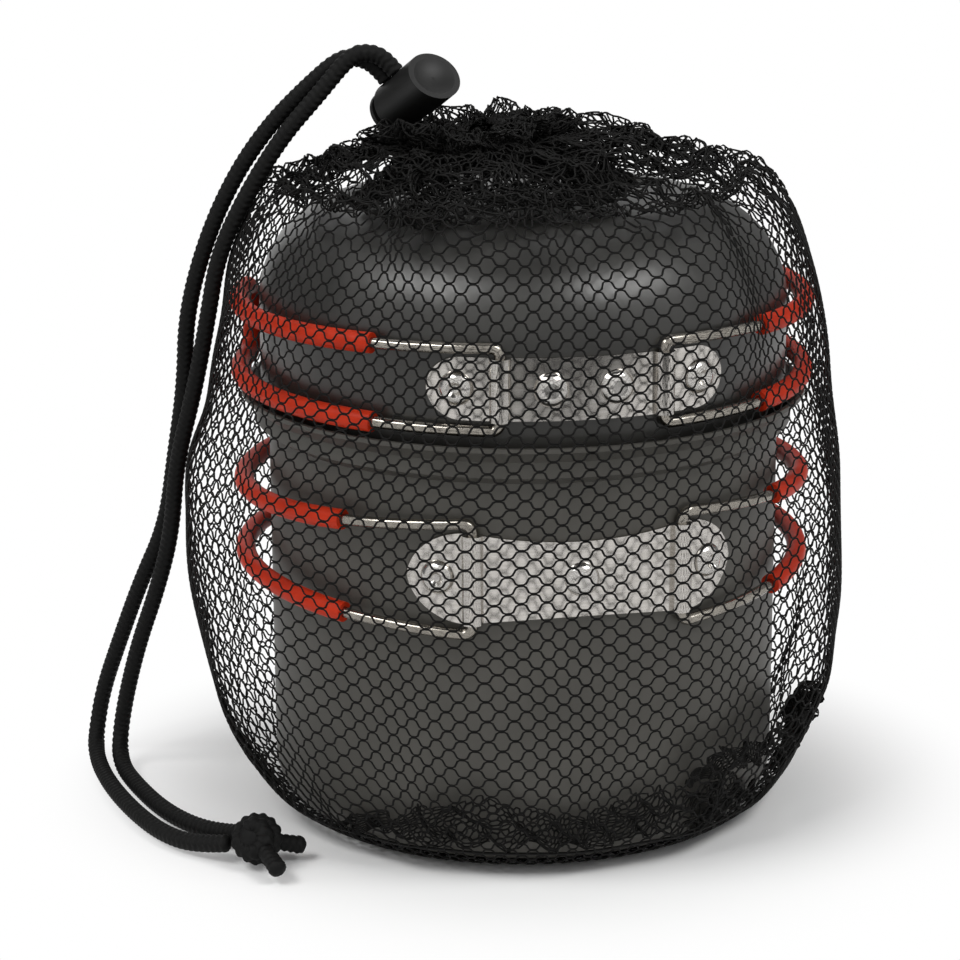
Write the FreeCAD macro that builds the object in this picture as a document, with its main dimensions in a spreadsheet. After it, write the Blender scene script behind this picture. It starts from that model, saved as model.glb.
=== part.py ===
import FreeCAD, Part
import math
import os
from FreeCAD import Placement, Rotation, Vector

# A nested camping cook set: a pot, a pan turned over on it as its lid, two pairs of folding
# wire handles with silicone sleeves, and the drawstring net bag that holds it all.
# Origin: on the pot's axis, on the surface that the bag stands on. +Z is up, -Y is the
# side of the handle brackets.

os.makedirs("parts", exist_ok=True)
doc = FreeCAD.newDocument("NestedCookSet")

SIZES = {
    # pot
    "pot_radius": 60.1,
    "pot_wall": 1.0,
    "pot_tall": 100.2,
    "pot_base_corner": 10.0,
    "ledge_drop": 9.4,
    "ledge_rise": 2.0,
    "collar_tall": 3.6,
    "collar_step": 3.1,
    "rim_step": 6.4,
    # pan, turned over
    "pan_step": 1.7,
    "pan_wall": 1.0,
    "pan_tall": 51.2,
    "pan_shoulder": 24.0,
    "pan_ring_inset": 26.8,
    "pan_ring_deep": 0.6,
    "pan_seat_gap": 0.2,
    # handle wires and sleeves
    "wire_radius": 1.25,
    "bore_radius": 1.3,
    "sleeve_radius": 2.3,
    "sleeve_gap": 0.03,
    "leg_long": 7.0,
    "tip_corner": 5.2,
    "pot_handle_tall": 25.4,
    "pot_handle_height": 70.2,
    "pot_hinge_angle": 22.7,
    "pot_arm_room": 1.1,
    "pot_arm_turn": 112.0,
    "pot_arm_splay": 2.8,
    "pot_arm_close": 4.2,
    "pot_sleeve_start": 27.0,
    "pot_elbow": 2.2,
    "pan_handle_tall": 18.4,
    "pan_handle_rise": 19.26,
    "pan_hinge_angle": 16.8,
    "pan_arm_room": 1.2,
    "pan_arm_turn": 95.0,
    "pan_arm_splay": 1.4,
    "pan_arm_close": 1.0,
    "pan_sleeve_start": 24.6,
    "pan_elbow": 1.9,
    # brackets and rivets
    "plate_thick": 1.0,
    "plate_gap": 0.05,
    "knuckle_wall": 1.1,
    "knuckle_gap": 0.3,
    "pot_waist_tall": 17.2,
    "pot_ear_angle": 38.0,
    "pot_rivet_angle": 30.3,
    "pan_ear_angle": 32.4,
    "pan_rivet_angle": 25.6,
    "pan_inner_rivet_angle": 6.7,
    "shank_radius": 2.0,
    "shank_gap": 0.05,
    "head_radius": 3.9,
    "head_tall": 1.7,
    "dimple_radius": 1.7,
    "dimple_deep": 0.9,
    "tail_radius": 3.1,
    "tail_tall": 0.9,
    # net bag
    "bag_base_thick": 0.8,
    "bag_base_gap": 0.3,
    "bag_base_inset": 4.1,
    "net_thick": 0.7,
    "bag_handle_room": 7.8,
    "net_gap": 0.1,
    "mesh_columns": 24,
    "mesh_tall": 11.0,
    "mesh_bar": 3.6,
    "mesh_first": 15.0,
    "neck_radius": 15.0,
    "neck_across": -13.0,
    "neck_back": -4.0,
    "neck_rise": 11.06,
    "hem_tall": 7.8,
    "hem_radius": 20.5,
    "hem_waist_radius": 11.8,
    "hem_mouth_radius": 7.0,
    "string_radius": 1.5,
    "string_rise": 1.0,
    # cord lock and tails
    "lock_radius": 6.1,
    "lock_long": 17.4,
    "lock_bore_radius": 4.5,
    "lock_bore_deep": 14.2,
    "lock_slant": 14.0,
    "lock_dish_deep": 1.2,
    "lock_slot_start": 1.0,
    "lock_slot_wide": 4.3,
    "lock_slot_long": 8.5,
    "plunger_gap": 0.08,
    "plunger_long": 10.0,
    "plunger_travel": 2.2,
    "plunger_head_radius": 5.3,
    "plunger_head_tall": 1.8,
    "spring_wire_radius": 0.3,
    "spring_radius": 3.2,
    "spring_turns": 3.0,
    "cord_radius": 2.0,
    "cord_gap": 0.12,
    "knot_radius": 6.2,
}

sheet = doc.addObject("Spreadsheet::Sheet", "Sizes")
for row, (alias, value) in enumerate(SIZES.items(), start=1):
    sheet.set(f"A{row}", alias)
    sheet.set(f"B{row}", str(value))
    sheet.setAlias(f"B{row}", alias)
doc.recompute()


def size(alias):
    return float(getattr(sheet, alias))


def bound(feature, **properties):
    """Binds each property to a formula of the sheet's cells."""
    for name, formula in properties.items():
        feature.setExpression(name, formula)
    return feature


# ---- shared builders ----

def outline(start, *steps):
    """An outline through its corners, closed by a line where the last isn't the first. A
    step of two points is an arc through the first of them to the second."""
    at = first = Vector(*start, 0)
    edges = []
    for step in steps:
        if isinstance(step[0], tuple):
            middle, end = (Vector(*point, 0) for point in step)
            edges.append(Part.Arc(at, middle, end))
        else:
            end = Vector(*step, 0)
            edges.append(Part.LineSegment(at, end))
        at = end
    if at.distanceToPoint(first) > 1e-6:
        edges.append(Part.LineSegment(at, first))
    return edges


def rounded(centre, radius, start, end):
    """The middle and far end of an arc about a centre, from one angle to another."""
    return tuple(
        (
            centre[0] + radius * math.cos(math.radians(angle)),
            centre[1] + radius * math.sin(math.radians(angle)),
        )
        for angle in ((start + end) / 2, end)
    )


def turned(name, edges):
    """A body turned about its own Z axis from a closed outline of radius and height."""
    body = doc.addObject("PartDesign::Body", name)
    profile = body.newObject("Sketcher::SketchObject", name + "_profile")
    plane = next(f for f in body.Origin.OriginFeatures if f.Role == "XZ_Plane")
    profile.AttachmentSupport = [(plane, "")]
    profile.MapMode = "FlatFace"
    for edge in edges:
        profile.addGeometry(edge, False)
    turn = body.newObject("PartDesign::Revolution", name + "_turned")
    turn.Profile = profile
    turn.ReferenceAxis = (profile, ["V_Axis"])
    turn.Angle = 360
    return body


def cylinder(name, radius, height, place):
    feature = bound(doc.addObject("Part::Cylinder", name), Radius=radius, Height=height)
    feature.Placement = place
    return feature


def combined(kind, name, shapes):
    feature = doc.addObject(kind, name)
    feature.Shapes = shapes
    return feature


def grouped(name, shapes):
    """Separate solids in one node."""
    feature = doc.addObject("Part::Compound", name)
    feature.Links = shapes
    return feature


def cut(name, base, tools):
    feature = doc.addObject("Part::Cut", name)
    feature.Base = base
    feature.Tool = tools if not isinstance(tools, list) else combined(
        "Part::MultiFuse", name + "_tools", tools
    )
    return feature


def outward(angle, radius, height):
    """A placement whose Z axis points straight out of a wall of the given radius."""
    turn = math.radians(angle)
    direction = Vector(math.sin(turn), -math.cos(turn), 0)
    return Placement(
        direction * radius + Vector(0, 0, height), Rotation(Vector(0, 0, 1), direction)
    )


def bend(start, heading, side, radius, turn):
    """An arc that leaves a point along a heading and curves to one side of it. Returns the
    arc, its far end, and the heading and side there."""
    def reached(angle):
        return start + heading * (radius * math.sin(angle)) + side * (
            radius * (1 - math.cos(angle))
        )

    arc = Part.Arc(start, reached(turn / 2), reached(turn)).toShape()
    return (
        arc,
        reached(turn),
        heading * math.cos(turn) + side * math.sin(turn),
        side * math.cos(turn) - heading * math.sin(turn),
    )


def swept(name, wire, radius):
    """A round bar of a named radius along a wire."""
    path = doc.addObject("Part::Feature", name + "_path")
    path.Shape = wire
    section = bound(doc.addObject("Part::Circle", name + "_section"), Radius=radius)
    start = wire.Edges[0]
    at = start.Vertexes[0].Point
    heading = start.tangentAt(start.FirstParameter)
    section.Placement = Placement(at, Rotation(Vector(0, 0, 1), heading))
    bar = doc.addObject("Part::Sweep", name)
    bar.Sections = [section]
    bar.Spine = (path, [f"Edge{n + 1}" for n in range(len(wire.Edges))])
    bar.Solid = True
    bar.Frenet = False
    return bar


def mirrored(name, source):
    """The left-hand twin of a right-hand piece."""
    twin = doc.addObject("Part::Mirroring", name)
    twin.Source = source
    twin.Normal = Vector(1, 0, 0)
    return twin


nodes = []


def node(feature, label):
    feature.Label = label
    nodes.append(feature)
    return feature


# ---- pot ----

WALL = {"pot": "Sizes.pot_radius", "pan": "(Sizes.pot_radius + Sizes.pan_step)"}

pot_foot = size("bag_base_thick") + size("bag_base_gap")
rim_height = pot_foot + size("pot_tall")
ledge_height = rim_height - size("ledge_drop")
collar_height = ledge_height + size("ledge_rise")
flare_height = collar_height + size("collar_tall")
pot_bore = size("pot_radius") - size("pot_wall")
collar_radius = size("pot_radius") + size("collar_step")
collar_bore = collar_radius - size("pot_wall")
rim_radius = size("pot_radius") + size("rim_step")
rim_bore = rim_radius - size("pot_wall")
base_centre = (size("pot_radius") - size("pot_base_corner"), pot_foot + size("pot_base_corner"))

pot_shell = turned("pot_shell", outline(
    (0, pot_foot),
    (base_centre[0], pot_foot),
    rounded(base_centre, size("pot_base_corner"), -90, 0),
    (size("pot_radius"), ledge_height),
    (collar_radius, collar_height),
    (collar_radius, flare_height),
    (rim_radius, rim_height - size("pot_wall")),
    (rim_radius, rim_height),
    (rim_bore, rim_height),
    (collar_bore, flare_height + size("pot_wall") / 2),
    (collar_bore, collar_height + size("pot_wall") / 2),
    (pot_bore, ledge_height + size("pot_wall") / 2),
    (pot_bore, base_centre[1]),
    rounded(base_centre, size("pot_base_corner") - size("pot_wall"), 0, -90),
    (0, pot_foot + size("pot_wall")),
))

# ---- pan, turned over: its rim sits on the slope of the pot's ledge ----

pan_radius = size("pot_radius") + size("pan_step")
ring_radius = pan_radius - size("pan_ring_inset")
ledge_slope = size("ledge_rise") / (collar_bore - pot_bore)
pan_foot = (
    ledge_height + size("pot_wall") / 2
    + (pan_radius - pot_bore) * ledge_slope + size("pan_seat_gap")
)
pan_top = pan_foot + size("pan_tall")
handle_height = {"pot": size("pot_handle_height"), "pan": pan_foot + size("pan_handle_rise")}
pan_bore = pan_radius - size("pan_wall")
shoulder_centre = (pan_radius - size("pan_shoulder"), pan_top - size("pan_shoulder"))

pan_shell = turned("pan_shell", outline(
    (pan_bore, pan_foot),
    (pan_radius, pan_foot),
    (pan_radius, shoulder_centre[1]),
    rounded(shoulder_centre, size("pan_shoulder"), 0, 90),
    (ring_radius + size("pan_ring_deep"), pan_top),
    (ring_radius, pan_top - size("pan_ring_deep")),
    (0, pan_top - size("pan_ring_deep")),
    (0, pan_top - size("pan_ring_deep") - size("pan_wall")),
    (ring_radius, pan_top - size("pan_ring_deep") - size("pan_wall")),
    (shoulder_centre[0], pan_top - size("pan_wall")),
    rounded(shoulder_centre, size("pan_shoulder") - size("pan_wall"), 90, 0),
))

# ---- rivets ----

def wall_radius(owner):
    return {"pot": size("pot_radius"), "pan": pan_radius}[owner]


def rivet(name, outer, wall, angle, height, dimpled):
    """A turned rivet through a wall and its plate: a low domed head outside, some with a
    dimple punched in it, and a flat tail inside."""
    seat = size("plate_gap") + size("plate_thick") + size("plate_gap")
    head_top = seat + size("head_tall")
    bore = outer - wall
    tail_seat = math.sqrt(bore**2 - size("tail_radius")**2) - outer - size("plate_gap")
    dome = (
        (size("head_radius") * 0.8, seat + size("head_tall") * 0.62),
        (size("dimple_radius"), head_top),
    )
    crown = [
        (size("dimple_radius") * 0.5, head_top - size("dimple_deep")),
        (0, head_top - size("dimple_deep")),
    ] if dimpled else [(0, head_top)]
    head = turned(name, outline(
        (0, tail_seat - size("tail_tall")),
        (size("tail_radius"), tail_seat - size("tail_tall")),
        (size("tail_radius"), tail_seat),
        (size("shank_radius"), tail_seat),
        (size("shank_radius"), seat),
        (size("head_radius"), seat),
        dome,
        *crown,
    ))
    head.Placement = outward(angle, outer, height)
    return head


def rivet_row(owner, wall, height, angles):
    """The rivets of one bracket, and the holes that they go through."""
    rivets = [
        rivet(f"{owner}_rivet_{n}", wall_radius(owner), wall, angle, height, dimpled)
        for n, (angle, dimpled) in enumerate(angles)
    ]
    holes = [
        cylinder(
            f"{owner}_rivet_hole_{n}", "Sizes.shank_radius + Sizes.shank_gap",
            "4 * Sizes.pot_wall + 2 * Sizes.plate_thick",
            outward(angle, wall_radius(owner) - 2 * size("pot_wall"), height),
        )
        for n, (angle, _) in enumerate(angles)
    ]
    node(grouped(owner + "_rivet_set", rivets), owner + "_rivets")
    return holes


# ---- brackets ----

def bracket(owner, edges, hinge, bump, holes, height):
    """A curved plate cut from the given outline, lying on the wall, with two half-round
    knuckles pressed out of it that hold the wires' legs against the wall."""
    flat = doc.addObject("Sketcher::SketchObject", owner + "_plate_outline")
    flat.Placement = Placement(Vector(0, 0, height), Rotation(Vector(1, 0, 0), 90))
    for edge in edges:
        flat.addGeometry(edge, False)
    blank = bound(doc.addObject("Part::Extrusion", owner + "_plate_blank"), LengthFwd=(
        f"{WALL[owner]} + 2 * Sizes.plate_thick"))
    blank.Base = flat
    blank.DirMode = "Custom"
    blank.Dir = Vector(0, -1, 0)
    blank.Solid = True
    drum = cylinder(owner + "_plate_drum", (
        f"{WALL[owner]} + Sizes.plate_gap + Sizes.plate_thick"),
        "Sizes.pot_tall + Sizes.pan_tall", Placement())
    plate = combined("Part::MultiCommon", owner + "_plate", [blank, drum])
    foot = height - bump / 2
    knuckles = []
    bores = []
    for side in (-1, 1):
        axis = Vector(side * hinge.x, hinge.y, foot)
        knuckles.append(cylinder(
            f"{owner}_knuckle_{side + 1}", "Sizes.bore_radius + Sizes.knuckle_wall",
            f"Sizes.{owner}_handle_tall - 2 * Sizes.{owner}_elbow - 2 * Sizes.knuckle_gap",
            Placement(axis, Rotation())))
        bores.append(cylinder(
            f"{owner}_bore_{side + 1}", "Sizes.bore_radius", f"2 * Sizes.{owner}_handle_tall",
            Placement(axis - Vector(0, 0, size(owner + "_handle_tall") / 2), Rotation())))
    body = combined("Part::MultiFuse", owner + "_plate_formed", [plate, *knuckles])
    wall_drum = cylinder(owner + "_plate_seat", f"{WALL[owner]} + Sizes.plate_gap",
        "Sizes.pot_tall + Sizes.pan_tall", Placement())
    return node(cut(owner + "_bracket", body, [wall_drum, *bores, *holes]), owner + "_bracket")


def hinge_axis(owner):
    """Where the right-hand hinge stands: the wire's leg lies in its knuckle against the
    wall, a running gap off it, so that the knuckle is open at its back."""
    reach = wall_radius(owner) + size("wire_radius") + size("plate_gap")
    turn = math.radians(size(owner + "_hinge_angle"))
    return Vector(reach * math.sin(turn), -reach * math.cos(turn), 0)


def across(owner, angle):
    return wall_radius(owner) * math.sin(math.radians(angle))


# ---- folding handles ----

def handle_path(owner, sleeve):
    """A handle's centre line in its own frame: Z is the hinge, X is the way the arms leave
    it, and Y points to the pot. Two arms in planes that lean together, joined at the tip by
    two corners and a straight. The wire's path adds an elbow and a leg at each end, and the
    sleeve's path starts further along the arms."""
    half = size(owner + "_handle_tall") / 2
    arm_radius = wall_radius(owner) + size(owner + "_arm_room")
    lean = math.asin(size(owner + "_arm_close") / arm_radius)
    elbow = size(owner + "_elbow")
    inward = Vector(0, 1, 0)
    down = Vector(math.cos(lean), 0, -math.sin(lean))
    foot = Vector(0, 0, half - elbow * math.cos(lean))
    edges = [Part.makeLine(foot - Vector(0, 0, size("leg_long")), foot)]
    arc, at, _, _ = bend(foot, Vector(0, 0, 1), Vector(1, 0, 0), elbow, math.pi / 2 + lean)
    edges.append(arc)
    skipped = math.radians(size(owner + "_sleeve_start")) if sleeve else 0
    heading, side = down, inward
    if sleeve:
        _, at, heading, side = bend(at, down, inward, arm_radius, skipped)
        edges = []
    turn = math.radians(size(owner + "_arm_turn")) - skipped
    arc, at, heading, _ = bend(at, heading, side, arm_radius, turn)
    edges.append(arc)
    drop = Vector(0, 0, -1)
    side = drop - heading * drop.dot(heading)
    side.normalize()
    arc, at, _, _ = bend(at, heading, side, size("tip_corner"), math.acos(drop.dot(heading)))
    edges.append(arc)
    upper = [edge.copy() for edge in edges]
    lower = [edge.mirror(Vector(0, 0, 0), Vector(0, 0, 1)) for edge in reversed(edges)]
    tip = Part.makeLine(at, Vector(at.x, at.y, -at.z))
    wire = Part.Wire(upper + [tip] + lower)
    hinge = hinge_axis(owner)
    leave = size(owner + "_hinge_angle") - size(owner + "_arm_splay")
    wire.Placement = Placement(
        hinge + Vector(0, 0, handle_height[owner]), Rotation(Vector(0, 0, 1), leave)
    )
    return wire


def handles(owner):
    """A right and a left handle: a bent wire, and one sleeve round its far end."""
    bar = swept(owner + "_wire_right", handle_path(owner, False), "Sizes.wire_radius")
    skin = swept(owner + "_sleeve_skin", handle_path(owner, True), "Sizes.sleeve_radius")
    core = swept(
        owner + "_sleeve_core", handle_path(owner, True), "Sizes.wire_radius + Sizes.sleeve_gap"
    )
    sleeve = cut(owner + "_sleeve_right", skin, core)
    node(bar, owner + "_handle_right_wire")
    node(sleeve, owner + "_handle_right_sleeve")
    node(mirrored(owner + "_wire_left", bar), owner + "_handle_left_wire")
    node(mirrored(owner + "_sleeve_left", sleeve), owner + "_handle_left_sleeve")


def knuckle_tall(owner):
    return size(owner + "_handle_tall") - 2 * size(owner + "_elbow") - 2 * size("knuckle_gap")


pot_half = knuckle_tall("pot") / 2
pot_knuckle = across("pot", size("pot_hinge_angle"))
pot_ear = across("pot", size("pot_ear_angle"))
pot_waist = size("pot_waist_tall") / 2
pot_ear_shoulder = (0.72 * pot_ear + 0.28 * pot_knuckle, 0.72 * pot_half)
pot_outline = outline(
    (-pot_knuckle, -pot_half),
    ((0, -pot_waist), (pot_knuckle, -pot_half)),
    ((pot_ear_shoulder[0], -pot_ear_shoulder[1]), (pot_ear, 0)),
    (pot_ear_shoulder, (pot_knuckle, pot_half)),
    ((0, pot_waist), (-pot_knuckle, pot_half)),
    ((-pot_ear_shoulder[0], pot_ear_shoulder[1]), (-pot_ear, 0)),
    ((-pot_ear_shoulder[0], -pot_ear_shoulder[1]), (-pot_knuckle, -pot_half)),
)
pot_holes = rivet_row("pot", size("pot_wall"), handle_height["pot"], [
    (-size("pot_rivet_angle"), True), (0, False), (size("pot_rivet_angle"), True),
])
node(cut("pot_pierced", pot_shell, pot_holes), "pot_body")
bracket("pot", pot_outline, hinge_axis("pot"), knuckle_tall("pot"),
    pot_holes, handle_height["pot"])
handles("pot")

pan_half = knuckle_tall("pan") / 2
pan_ear = across("pan", size("pan_ear_angle"))
pan_ear_start = pan_ear - pan_half
pan_outline = outline(
    (-pan_ear_start, -pan_half),
    (pan_ear_start, -pan_half),
    ((pan_ear, 0), (pan_ear_start, pan_half)),
    (-pan_ear_start, pan_half),
    ((-pan_ear, 0), (-pan_ear_start, -pan_half)),
)
pan_holes = rivet_row("pan", size("pan_wall"), handle_height["pan"], [
    (-size("pan_rivet_angle"), True), (-size("pan_inner_rivet_angle"), False),
    (size("pan_inner_rivet_angle"), False), (size("pan_rivet_angle"), True),
])
node(cut("pan_pierced", pan_shell, pan_holes), "pan_body")
bracket("pan", pan_outline, hinge_axis("pan"), knuckle_tall("pan"),
    pan_holes, handle_height["pan"])
handles("pan")

# ---- cord lock: a sprung plunger in a barrel, leaning over the bag's mouth ----

neck = Vector(size("neck_across"), size("neck_back"), pan_top + size("neck_rise"))
lock_foot = neck + Vector(-15.4, 10.4, 9.2)
lock_way = Vector(0.361, -0.787, 0.499)
lock_way.normalize()
hole_way = Vector(-0.578, 0.238, 0.78)
hole_way = hole_way - lock_way * hole_way.dot(lock_way)
hole_way.normalize()
# the lock's own frame: Z along the barrel, X the way the tails leave it
lock_frame = Placement(lock_foot, Rotation(hole_way, lock_way.cross(hole_way), lock_way, "ZXY"))


def placed(feature, offset=0.0):
    feature.Placement = lock_frame * Placement(Vector(0, 0, offset), Rotation())
    return feature


barrel = placed(turned("lock_barrel", outline(
    (size("lock_bore_radius"), 0),
    (size("lock_radius"), 0),
    (size("lock_radius"), size("lock_long") + size("lock_radius")),
    (0, size("lock_long") + size("lock_radius")),
    (0, size("lock_bore_deep")),
    (size("lock_bore_radius"), size("lock_bore_deep")),
)))


def slot(name, start, long):
    """A round-ended slot across the lock, wide enough for one cord and long enough for two."""
    wide = size("lock_slot_wide")
    edges = outline(
        (start + wide / 2, -wide / 2),
        (start + long - wide / 2, -wide / 2),
        ((start + long, 0), (start + long - wide / 2, wide / 2)),
        (start + wide / 2, wide / 2),
        ((start, 0), (start + wide / 2, -wide / 2)),
    )
    opening = doc.addObject("Sketcher::SketchObject", name + "_outline")
    for edge in edges:
        opening.addGeometry(edge, False)
    opening.Placement = lock_frame * Placement(
        Vector(0, 0, 0), Rotation(Vector(0, 0, 1), Vector(0, 1, 0), Vector(-1, 0, 0), "XYZ")
    )
    hole = bound(doc.addObject("Part::Extrusion", name), LengthFwd="2 * Sizes.lock_radius")
    hole.Base = opening
    hole.DirMode = "Normal"
    hole.LengthRev = 2 * size("lock_radius")
    hole.Solid = True
    return hole


slant = bound(doc.addObject("Part::Box", "lock_slant_cut"), Length="8 * Sizes.lock_radius",
    Width="8 * Sizes.lock_radius", Height="4 * Sizes.lock_radius")
slant.Placement = lock_frame * Placement(
    Vector(0, 0, size("lock_long")), Rotation(Vector(0, 1, 0), size("lock_slant"))
) * Placement(Vector(-4, -4, 0) * size("lock_radius"), Rotation())
dish = doc.addObject("Part::Sphere", "lock_dish_cut")
dish_radius = (0.8 * size("lock_radius")) ** 2 / (2 * size("lock_dish_deep")) + (
    size("lock_dish_deep") / 2)
dish.Radius = dish_radius
dish.Placement = lock_frame * Placement(
    Vector(0, 0, size("lock_long")), Rotation(Vector(0, 1, 0), size("lock_slant"))
) * Placement(Vector(0, 0, dish_radius - size("lock_dish_deep")), Rotation())
node(cut("lock_barrel_cut", barrel, [
    slant, dish, slot("lock_slot", size("lock_slot_start"), size("lock_slot_long")),
]), "cord_lock_barrel")

plunger_radius = size("lock_bore_radius") - size("plunger_gap")
head_gap = size("plunger_travel") + size("plunger_gap")
plunger = placed(turned("lock_plunger", outline(
    (0, -head_gap - size("plunger_head_tall")),
    (size("plunger_head_radius") - 0.6, -head_gap - size("plunger_head_tall")),
    (size("plunger_head_radius"), -head_gap - size("plunger_head_tall") + 0.6),
    (size("plunger_head_radius"), -head_gap),
    (plunger_radius, -head_gap),
    (plunger_radius, size("plunger_long")),
    (0, size("plunger_long")),
)))
node(cut("lock_plunger_cut", plunger, slot(
    "plunger_slot", size("lock_slot_start") - size("plunger_travel"),
    size("lock_slot_long") + size("plunger_gap"),
)), "cord_lock_plunger")

coil_gap = size("cord_gap")
coil_room = size("lock_bore_deep") - size("plunger_long") - 2 * coil_gap
coil_rise = coil_room - 2 * size("spring_wire_radius")
coil = doc.addObject("Part::Helix", "lock_coil")
coil.Pitch = coil_rise / size("spring_turns")
coil.Height = coil_rise
coil.Radius = size("spring_radius")
coil_section = bound(
    doc.addObject("Part::Circle", "lock_coil_section"), Radius="Sizes.spring_wire_radius"
)
coil_section.Placement = Placement(
    Vector(size("spring_radius"), 0, 0), Rotation(Vector(1, 0, 0), 90)
)
spring = doc.addObject("Part::Sweep", "lock_spring")
spring.Sections = [coil_section]
spring.Spine = (coil, ["Edge1"])
spring.Solid = True
spring.Frenet = True
node(placed(
    spring, size("plunger_long") + coil_gap + size("spring_wire_radius")
), "cord_lock_spring")

# ---- net bag ----

bag_base_radius = size("pot_radius") - size("bag_base_inset")
node(turned("bag_base_disc", outline(
    (0, 0),
    (bag_base_radius, 0),
    (bag_base_radius, size("bag_base_thick")),
    (0, size("bag_base_thick")),
)), "bag_base")


def bag_levels():
    """The bag's oval sections from its base to its neck: height, half width, half depth and
    the centre's shift along X and Y. Slack cloth stands off the pot, rests on the handles
    and closes over the pan."""
    foot = size("bag_base_thick") + size("net_gap")
    tall = size("pot_tall")
    wall = size("pot_radius")
    handle = pan_radius + size("bag_handle_room")
    top = pan_top
    neck_edge = size("neck_radius")
    return [
        (foot, bag_base_radius, bag_base_radius, 0, 0),
        (foot + 0.1 * tall, wall + 6.0, wall + 4.4, 0, 0),
        (foot + 0.3 * tall, wall + 14.6, wall + 10.4, -0.6, 0),
        (foot + 0.58 * tall, wall + 18.6, wall + 12.4, -1.6, 0),
        (foot + 0.8 * tall, wall + 18.0, wall + 12.2, -2.2, 0),
        (rim_height, wall + 13.6, wall + 11.0, -0.4, 0),
        (handle_height["pan"] + 11, handle, handle, 0, 0),
        (top - 0.58 * size("pan_shoulder"), handle - 3.2, handle - 3.6, 0, 0),
        (top - 4, handle - 8.2, handle - 8.6, -0.4, 0),
        (top + 2, handle - 12.4, handle - 13.4, -1.6, 0),
        (top + 7, handle - 17.4, handle - 20.0, -3.2, -0.6),
        (top + 10.2, handle - 29.0, handle - 31.0, -7.0, -2.0),
        (neck.z, neck_edge, neck_edge, neck.x, neck.y),
    ]


def oval_loft(inset):
    rings = []
    for height, wide, deep, shift_x, shift_y in bag_levels():
        oval = Part.Ellipse(
            Vector(shift_x, shift_y, height), max(wide, deep + 0.01) - inset, deep - inset
        )
        rings.append(Part.Wire(oval.toShape()))
    return Part.makeLoft(rings, True, True)


def mesh_openings():
    """The net's holes drawn coarse: rows of windows all round, up to the pan's shoulder."""
    columns = int(size("mesh_columns"))
    tall = size("mesh_tall")
    across = (
        2 * math.pi * (pan_radius + size("bag_handle_room")) / columns - size("mesh_bar")
    )
    rows = 1 + int((pan_top - size("pan_shoulder") / 4 - size("mesh_first"))
        / (tall + size("mesh_bar")))
    windows = []
    for row in range(rows):
        low = size("mesh_first") + row * (tall + size("mesh_bar")) - tall / 2
        for column in range(columns):
            window = Part.makeBox(across, size("pot_radius"), tall, Vector(
                -across / 2, -1.5 * size("pot_radius"), low))
            window.rotate(Vector(), Vector(0, 0, 1), 360 * column / columns)
            windows.append(window)
    return Part.makeCompound(windows)


net = doc.addObject("Part::Feature", "bag_net_shell")
net.Shape = oval_loft(0).cut(oval_loft(size("net_thick"))).cut(mesh_openings())
node(net, "bag_net")

string_height = size("net_gap") + size("string_radius") + size("string_rise")
hem = turned("bag_hem_ring", outline(
    (size("hem_mouth_radius"), size("net_gap")),
    (size("neck_radius"), size("net_gap")),
    (size("hem_waist_radius"), string_height - size("string_radius") * 0.6),
    (size("hem_waist_radius"), string_height + size("string_radius") * 0.6),
    (size("hem_radius"), size("hem_tall")),
    (size("hem_radius") - 3, size("hem_tall")),
))
hem.Placement = Placement(neck, Rotation())
lock_room = cylinder("lock_room", "Sizes.lock_radius + 4 * Sizes.cord_gap",
    "3 * Sizes.lock_long", lock_frame * Placement(
        Vector(0, 0, -size("lock_long")), Rotation()))

# ---- drawstring: a loop round the neck, whose two ends go up into the lock ----

slot_middle = size("lock_slot_start") + size("lock_slot_long") / 2
loop_radius = size("hem_waist_radius") + size("cord_gap") + size("string_radius")
loop = bound(doc.addObject("Part::Torus", "drawstring_ring"),
    Radius1="Sizes.hem_waist_radius + Sizes.cord_gap + Sizes.string_radius",
    Radius2="Sizes.string_radius")
loop.Placement = Placement(neck + Vector(0, 0, string_height), Rotation())
slot_mouth = lock_frame.multVec(
    Vector(-size("lock_radius") - 8 * size("cord_gap"), 0, slot_middle)
)
toward = slot_mouth - (neck + Vector(0, 0, string_height))
toward.z = 0
toward.normalize()
lead_foot = neck + Vector(0, 0, string_height) + toward * loop_radius
lead_way = slot_mouth - lead_foot
lead = bound(doc.addObject("Part::Cylinder", "drawstring_lead"), Radius="Sizes.string_radius")
lead.Height = lead_way.Length
lead.Placement = Placement(lead_foot, Rotation(Vector(0, 0, 1), lead_way))
node(combined("Part::MultiFuse", "drawstring", [loop, lead]), "drawstring_loop")
lead_room = cylinder("drawstring_room", "Sizes.string_radius + 3 * Sizes.cord_gap",
    "8 * Sizes.string_radius", lead.Placement)
node(cut("bag_hem_ruffle", hem, [lock_room, lead_room]), "bag_hem")

# ---- cord tails ----

def route(name, points):
    """A cord's path: straight runs joined by tangent arcs, each as large as its runs allow."""
    edges = []
    at = points[0]
    radii = []
    for before, corner, after in zip(points, points[1:], points[2:]):
        arriving = corner - before
        leaving = after - corner
        shorter = min(arriving.Length, leaving.Length)
        turn = arriving.getAngle(leaving)
        reach = 0.45 * shorter
        arriving.normalize()
        leaving.normalize()
        start = corner - arriving * reach
        end = corner + leaving * reach
        radius = reach / math.tan(turn / 2)
        radii.append(round(radius, 1))
        bisector = leaving - arriving
        bisector.normalize()
        middle = corner + bisector * (radius / math.cos(turn / 2) - radius)
        edges.append(Part.makeLine(at, start))
        edges.append(Part.Arc(start, middle, end).toShape())
        at = end
    edges.append(Part.makeLine(at, points[-1]))
    print(name, "bend radii", radii, "length", round(sum(e.Length for e in edges), 1))
    return Part.Wire(edges)


def tail_exit(along):
    return lock_frame.multVec(
        Vector(size("lock_radius") + size("cord_gap"), 0, slot_middle + along)
    )


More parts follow.
